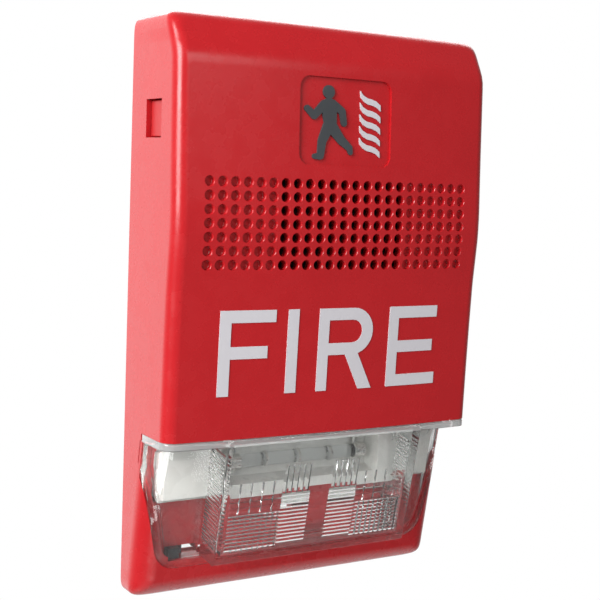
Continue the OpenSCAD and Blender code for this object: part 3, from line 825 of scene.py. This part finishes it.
def letter_loops():
    """Plain block letters F, I, R and E as loops on the face."""
    t, b = LETTER_TOP, LETTER_TOP - LETTER_H
    s = STROKE
    mid = b + 8.2
    f = [(0, b), (s, b), (s, mid), (11.9, mid), (11.9, mid + s), (s, mid + s),
         (s, t - s), (13.7, t - s), (13.7, t), (0, t)]
    i = [(0, b), (s, b), (s, t), (0, t)]
    bowl = 5.4
    waist = t - 2 * bowl
    r = ([(0, b), (s, b), (s, waist), (7.4, waist), (11.5, b), (15.2, b), (10.9, waist + 0.25)]
         + arc(9.4, t - bowl, bowl, -70, 90, 14) + [(0, t)])
    hole = [(s, waist + s)] + arc(9.2, t - bowl, bowl - s, -90, 90, 10) + [(s, t - s)]
    bar = mid - 0.1
    e = [(0, b), (14.4, b), (14.4, b + s), (s, b + s), (s, bar), (13.2, bar), (13.2, mid + s - 0.1),
         (s, mid + s - 0.1), (s, t - s), (14.1, t - s), (14.1, t), (0, t)]
    placed = ((f, -29.6), (i, -12.8), (r, -4.7), (hole, -4.7), (e, 14.7))
    return [[(x + x0, z) for x, z in loop] for loop, x0 in placed]


lettering = field_solid("lettering", letter_loops(), raised(upper_depth, LETTER_RAISE),
                        raised(upper_depth, -LETTER_ROOT), 1.5)
shade(lettering, 40)
lettering.data.materials.append(letter_white)
finish_piece(lettering, "head", "letter_white", "fire_lettering")


# A walking figure about the plaque's middle: each part runs between two points, with a radius
# at each.
WALKER = [
    ((-4.7, 6.5), (-4.7, 6.51), 1.5, 1.5),          # head
    ((-4.6, 3.2), (-4.1, -0.8), 2.0, 1.55),         # trunk
    ((-5.9, 3.7), (-8.4, 1.1), 1.0, 0.85),          # arms
    ((-8.4, 1.1), (-10.2, 2.6), 0.85, 0.75),
    ((-3.6, 3.9), (-1.1, 2.4), 1.0, 0.85),
    ((-1.1, 2.4), (-0.6, -0.2), 0.85, 0.75),
    ((-4.7, -1.2), (-6.2, -4.3), 1.4, 1.05),        # legs
    ((-6.2, -4.3), (-6.6, -7.6), 1.05, 0.85),
    ((-3.7, -1.2), (-1.2, -4.0), 1.4, 1.05),
    ((-1.2, -4.0), (1.0, -5.6), 1.05, 0.8),
    ((-6.7, -7.7), (-8.1, -7.8), 0.8, 0.6),         # feet
    ((1.0, -5.6), (1.3, -6.6), 0.75, 0.6),
]
STAMP_ROOT = 0.25       # how far the stamped shapes are sunk into the plaque's floor


def limb(a, b, r0, r1):
    """A tapering limb with round ends, as a loop about the plaque's middle."""
    angle = math.degrees(math.atan2(b[1] - a[1], b[0] - a[0]))
    return ([(x, z + PLAQUE_Z) for x, z in arc(b[0], b[1], r1, angle - 90, angle + 90, 8)]
            + [(x, z + PLAQUE_Z) for x, z in arc(a[0], a[1], r0, angle + 90, angle + 270, 8)])


def stamped(name, loops, height, material):
    """Raised shapes on the plaque floor, merged into one solid."""
    pieces = [field_solid(name, [loop], raised(plaque_floor, height),
                          raised(plaque_floor, -STAMP_ROOT), 3.0) for loop in loops]
    whole = cut(pieces[0], *[("UNION", p) for p in pieces[1:]])
    whole.name = name
    shade(whole, 40)
    whole.data.materials.append(material)
    return whole


figure = stamped("pictogram_walker", [limb(*part) for part in WALKER], 0.45, pictogram_dark)
finish_piece(figure, "head", "pictogram_dark", "pictogram_figure")


FLAMES, FLAME_PITCH, FLAME_WIDTH = 5, 2.62, 1.35


def flame(k):
    """A short wavy bar that runs down to the right."""
    z = PLAQUE_Z + 5.6 - FLAME_PITCH * k
    top = [(3.7, 1.7), (4.5, 0.75), (5.7, 0.15), (7.0, -0.05), (8.2, -0.45), (9.3, -1.25)]
    return ([(x, z + dz) for x, dz in top[::-1]]
            + [(x + 0.1, z + dz - FLAME_WIDTH) for x, dz in top])


flames = stamped("pictogram_flame_bars", [flame(k) for k in range(FLAMES)], 0.3, letter_white)
finish_piece(flames, "head", "letter_white", "pictogram_flames")

# ---------------------------------------------------------------- the lens

# The prism box stands on the skin and leans. Its own frame starts at its top front edge:
# X across, "out" along the front wall's normal, and "down" along the wall.
PRISM_W = 52.0
LEAN = math.radians(11.0)
TOP = Vector((0, -23.0, LIP_Z - FLANGE)) * MM
LOCAL = Matrix((
    (1, 0, 0),
    (0, -math.cos(LEAN), math.sin(LEAN)),
    (0, -math.sin(LEAN), -math.cos(LEAN)),
))


def local_prism(name, outline, x0, x1):
    """A solid along X with an outline of (out, down) in the prism box's frame, in mm."""
    points = [TOP / MM + LOCAL @ Vector((0, out, down)) for out, down in outline]
    return prism(name, [(p.y, p.z) for p in points], x0, x1)


def saw(out, height, down0, down1, pitch):
    """Points of a row of ridges down a wall whose plain surface is at a distance out."""
    n = round((down1 - down0) / pitch)
    step = (down1 - down0) / n
    points = []
    for k in range(n):
        points += [(out, down0 + step * k), (out + height, down0 + step * (k + 0.5))]
    return points + [(out, down1)]


RIM_TOP = LIP_Z - 0.06          # the rim stops just short of the lip
RIM_CHAMFER, CHAMFER_SLOPE = 0.5, 0.9
RIM_BACK = NOTCH_DEPTH + 0.7
BOX = [(0, -1.2), (0, 28.6), (-1.0, 29.4), (-7.5, 29.9), (-14, 29.9), (-14, -1.2)]
BOX_BACK, BOX_TOP, BOX_FLOOR = -16.0, -0.2, 27.0
GAP_X, PANEL_X, END_X = 2.6, 10.2, 23.6     # the plain gap, the inner and the outer ribbed panels
FINE, COARSE = 0.94, 2.4                    # pitch of the fine ribs and of the coarse ones
FINE_HEIGHT, COARSE_HEIGHT = 0.33, 0.4
SKIN_NARROWING, LOWER_END = 0.957, -40.0    # the skin's hollow: its width, and its end below this Z

# Grooves down the front wall: how many on each side, the X of the first and their pitch, then
# their half width, the "out" they start from, their depth, and where they start and end.
UPRIGHT_GROOVES = [
    (5, 3.6, 1.5, 0.55, -LENS_T - 0.05, 0.5, 6.0, 13.0),
    (4, 12.6, 2.9, 0.3, -LENS_T - 0.05, 0.55, 9.5, 17.0),
    (9, 11.2, 1.4, 0.32, 0.05, -0.34, 17.0, 26.0),
]
# Grooves along the side walls: how many, where the first is and their pitch, then their depth,
# half width, and where they start and end.
SIDE_GROOVES, SIDE_FIRST, SIDE_PITCH = 24, 3.2, 0.98
SIDE_DEPTH, SIDE_HALF, SIDE_BACK, SIDE_FRONT = 0.5, 0.36, -10.5, -2.2


def make_rim():
    """The top rim of the lens, which follows the cover's front in the notch."""
    bend_z = RIM_TOP - RIM_CHAMFER
    loop = [(-HALF_W, LIP_Z - FLANGE), (HALF_W, LIP_Z - FLANGE), (HALF_W, RIM_TOP), (-HALF_W, RIM_TOP)]
    inset = [SIDE_FILLET * (1 - math.cos(math.radians(a))) for a in range(10, 91, 10)]
    lines = [[(side * (HALF_W - i), RIM_TOP), (side * (HALF_W - i), LIP_Z - FLANGE)]
             for i in inset for side in (-1, 1)]
    lines.append([(-HALF_W, bend_z), (HALF_W, bend_z)])

    def rim_depth(x, z):
        return upper_depth(x, z) - np.clip(z - bend_z, 0, RIM_CHAMFER) * CHAMFER_SLOPE

    return field_solid("lens_moulding", [split_line(loop, bend_z)], rim_depth, RIM_BACK, 2.5, lines)


def make_skin():
    """The part of the lens that lies flush in the cover, before it is hollowed."""
    loop = [(max(-HALF_W, min(HALF_W, x)), z) for x, z in lens_loop(0.0, LIP_Z - FLANGE + 0.3)]

    def back(x, z):
        return np.minimum(lower_depth(x, z) - 0.4, slope_plane(x, z) - SKIN_REACH + 0.1)

    return field_solid("skin", [loop], lower_depth, back, 1.5)


def box_hollows():
    """The inside of the prism box, in strips, some with ribs on the front wall."""
    t = LENS_T
    end = [(-t, BOX_FLOOR), (BOX_BACK, BOX_FLOOR), (BOX_BACK, BOX_TOP)]
    plain = [(-t, BOX_TOP)] + end
    inner_panel = [(-t, BOX_TOP)] + saw(-t, FINE_HEIGHT, 13.0, 25.6, FINE) + end
    outer_panel = ([(-t, BOX_TOP), (-t, 11.4)] + saw(-t, COARSE_HEIGHT, 11.6, 16.4, COARSE)
                   + saw(-t, FINE_HEIGHT, 16.8, 26.2, FINE) + end)
    strips = [local_prism("strip", plain, -GAP_X, GAP_X)]
    for side in (-1, 1):
        for outline, x0, x1 in ((inner_panel, GAP_X, PANEL_X), (outer_panel, PANEL_X, END_X),
                                (plain, END_X, PRISM_W / 2 - t)):
            strips.append(local_prism("strip", outline, *sorted((side * x0, side * x1))))
    return strips


def box_grooves():
    """Grooves down the front wall and along the side walls of the prism box."""
    grooves = []
    for side in (-1, 1):
        for count, first, pitch, *shape in UPRIGHT_GROOVES:
            grooves += [upright_ridge(side * (first + pitch * k), *shape) for k in range(count)]
        wall_x = side * (PRISM_W / 2 - LENS_T - 0.05)
        for k in range(SIDE_GROOVES):
            grooves.append(side_ridge(wall_x, side * SIDE_DEPTH, SIDE_FIRST + k * SIDE_PITCH, SIDE_HALF,
                                      SIDE_BACK, SIDE_FRONT))
    return joined("grooves", grooves)


def make_lens():
    """The lens in one moulding: rim, skin and prism box, with a line round the skin."""
    rim = make_rim()
    skin = make_skin()
    outline = lens_loop(0.0, LIP_Z - FLANGE - 0.01)
    inside_walls = [(x * SKIN_NARROWING, z + LENS_T if z < LOWER_END else z) for x, z in outline]
    hollow = field_solid("hollow", [inside_walls], inner(lower_depth, LENS_T), 0.0, 1.5)
    outer = local_prism("box", BOX, -PRISM_W / 2, PRISM_W / 2)
    border = [lens_loop(-1.9, LIP_Z - 3.0), lens_loop(-2.5, LIP_Z - 3.6)]
    line = field_solid("border_line", border, FRONT + OUT, raised(lower_depth, -0.35), 1.5)
    steps = [("UNION", skin), ("DIFFERENCE", hollow), ("DIFFERENCE", line), ("UNION", outer)]
    steps += [("DIFFERENCE", strip) for strip in box_hollows()]
    steps += [("DIFFERENCE", box_grooves())]
    return cut(rim, *steps)


def groove(corners, ends, place):
    """A long three-sided cutter: its corners at both ends, placed in the prism box's frame."""
    verts = [TOP / MM + LOCAL @ Vector(place(corner, end)) for end in ends for corner in corners]
    return oriented("ridge", verts, [[0, 1, 2], [5, 4, 3], [0, 3, 4, 1], [1, 4, 5, 2], [2, 5, 3, 0]])


def upright_ridge(x, half, out, height, down0, down1):
    """A triangular groove cutter running down the front wall."""
    corners = [(x - half, out), (x + half, out), (x, out + height)]
    return groove(corners, (down0, down1), lambda corner, down: (corner[0], corner[1], down))


def side_ridge(x, width, down, half, out0, out1):
    """A triangular groove cutter running from back to front along a side wall."""
    corners = [(x, down - half), (x, down + half), (x + width, down)]
    return groove(corners, (out0, out1), lambda corner, out: (corner[0], out, corner[1]))


def oriented(name, verts, faces):
    """A small closed solid whose faces are turned outwards."""
    v = np.array([tuple(p) for p in verts])
    volume = 0.0
    for f in faces:
        for i in range(1, len(f) - 1):
            volume += np.dot(v[f[0]], np.cross(v[f[i]], v[f[i + 1]]))
    if volume < 0:
        faces = [f[::-1] for f in faces]
    return new_object(name, v * MM, faces)


lens = make_lens()
shade(lens, 25)
lens.data.materials.append(lens_clear)
finish_piece(lens, "head", "lens_clear", "strobe_lens")

# ---------------------------------------------------------------- latch faces in the side windows

FACE_LO, FACE_HI = (38.92, -15.45, 39.65), (40.2, -8.05, 47.45)


def soften(piece, width):
    """Rounds the edges of a boxy piece, by a width in mm."""
    bevel = piece.modifiers.new("bevel", "BEVEL")
    bevel.width = width * MM
    bevel.segments = 3
    shade(piece, 40)


for side, name in ((-1, "left"), (1, "right")):
    face = mirrored("latch_face_" + name, side, FACE_LO, FACE_HI)
    soften(face, 0.25)
    face.data.materials.append(plate_red)
    finish_piece(face, "latch_" + name, "plate_red")

# ---------------------------------------------------------------- the reflector's ends

# White panels beside the reflector, and white strips behind the ends of the lens's rim.
PANEL_LO, PANEL_HI = (21, -11.9, -41.4), (36.6, -5.2, -29.2)
STRIP_LO, STRIP_HI = (31, -10.1, LIP_Z - 1.7), (40.6, -9.6, LIP_Z - 0.1)
panels = joined("reflector_end_panels",
                [mirrored("panel", side, PANEL_LO, PANEL_HI) for side in (-1, 1)]
                + [mirrored("strip", side, STRIP_LO, STRIP_HI) for side in (-1, 1)])
soften(panels, 0.2)
panels.data.materials.append(reflector_white)
finish_piece(panels, "head", "reflector_white")

# ---------------------------------------------------------------- stage, lights and camera


def area_light(name, place, target, size, power):
    """A white rectangular light at a place, turned towards a target, in metres and watts."""
    data = bpy.data.lights.new(name, "AREA")
    data.shape = "RECTANGLE"
    data.size, data.size_y = size
    data.energy = power
    lamp = bpy.data.objects.new(name, data)
    bpy.context.scene.collection.objects.link(lamp)
    lamp.location = place
    lamp.rotation_mode = "QUATERNION"
    lamp.rotation_quaternion = (Vector(target) - Vector(place)).to_track_quat("-Z", "Y")


# The part hangs on a wall, so the floor lies well below it.
FLOOR_Z = cad_lo.z - 0.55
FLOOR_R = 0.5
floor = new_object("floor", [(-FLOOR_R, -FLOOR_R, FLOOR_Z), (FLOOR_R, -FLOOR_R, FLOOR_Z),
                             (FLOOR_R, FLOOR_R, FLOOR_Z), (-FLOOR_R, FLOOR_R, FLOOR_Z)], [[0, 1, 2, 3]])
floor.data.materials.append(plastic("pale_floor", (0.86, 0.86, 0.86), rough=0.8, grain=40.0, vary=0.01))

area_light("back_left", (-0.45, 0.90, 0.0), (0, 0, 0), (1.0, 1.3), 2.4)
area_light("front_left", (-0.605, -0.28, 0.30), (0, 0, 0), (0.34, 0.6), 8.7)
area_light("back_top", (0.35, 0.60, 0.55), (0, 0, 0.06), (0.9, 0.4), 4.0)
area_light("front_high", (0.15, -1.15, 0.5), (0, 0, 0.03), (0.7, 0.45), 2.7)
area_light("low_strip", (-0.1, -0.75, -0.5), (0, 0, 0), (0.7, 0.05), 0.9)

# The backdrop is white behind the object and wherever it is seen directly. The room in front
# of the object is dim.
ROOM_LEVEL, BACKDROP_LEVEL = 0.2, 1.0
BACKDROP_FROM, BACKDROP_TO = 0.1, 0.7     # Y of the direction where the backdrop fades in
world = bpy.data.worlds.new("studio")
world.use_nodes = True
tree = world.node_tree
join = tree.links.new
backdrop = tree.nodes["Background"]
room = tree.nodes.new("ShaderNodeBackground")
for shader, level in ((backdrop, BACKDROP_LEVEL), (room, ROOM_LEVEL)):
    shader.inputs["Color"].default_value = (1, 1, 1, 1)
    shader.inputs["Strength"].default_value = level
direction = tree.nodes.new("ShaderNodeSeparateXYZ")
join(tree.nodes.new("ShaderNodeTexCoord").outputs["Generated"], direction.inputs[0])
behind = tree.nodes.new("ShaderNodeMapRange")
behind.inputs["From Min"].default_value = BACKDROP_FROM
behind.inputs["From Max"].default_value = BACKDROP_TO
join(direction.outputs["Y"], behind.inputs["Value"])
white = tree.nodes.new("ShaderNodeMath")
white.operation = "MAXIMUM"
join(tree.nodes.new("ShaderNodeLightPath").outputs["Is Camera Ray"], white.inputs[0])
join(behind.outputs["Result"], white.inputs[1])
either = tree.nodes.new("ShaderNodeMixShader")
join(white.outputs[0], either.inputs[0])
join(room.outputs[0], either.inputs[1])
join(backdrop.outputs[0], either.inputs[2])
join(either.outputs[0], tree.nodes["World Output"].inputs["Surface"])
bpy.context.scene.world = world
bpy.context.scene.view_settings.view_transform = "Standard"

# The camera's place in metres, and the directions it has to its right, below it and ahead.
CAMERA_AT = (-0.15065, -0.25618, 0.03286)
RIGHT = Vector((0.856853, -0.514053, 0.039396))
DOWN = Vector((-0.019222, -0.108215, -0.993942))
AHEAD = Vector((0.515202, 0.850905, -0.102606))
camera_data = bpy.data.cameras.new("camera")
camera_data.lens = 73.36
camera_data.sensor_width = 36.0
camera_data.clip_start = 0.01
camera = bpy.data.objects.new("camera", camera_data)
bpy.context.scene.collection.objects.link(camera)
turn = Matrix((RIGHT, -DOWN, -AHEAD)).transposed().to_4x4()
camera.matrix_world = Matrix.Translation(CAMERA_AT) @ turn
bpy.context.scene.camera = camera
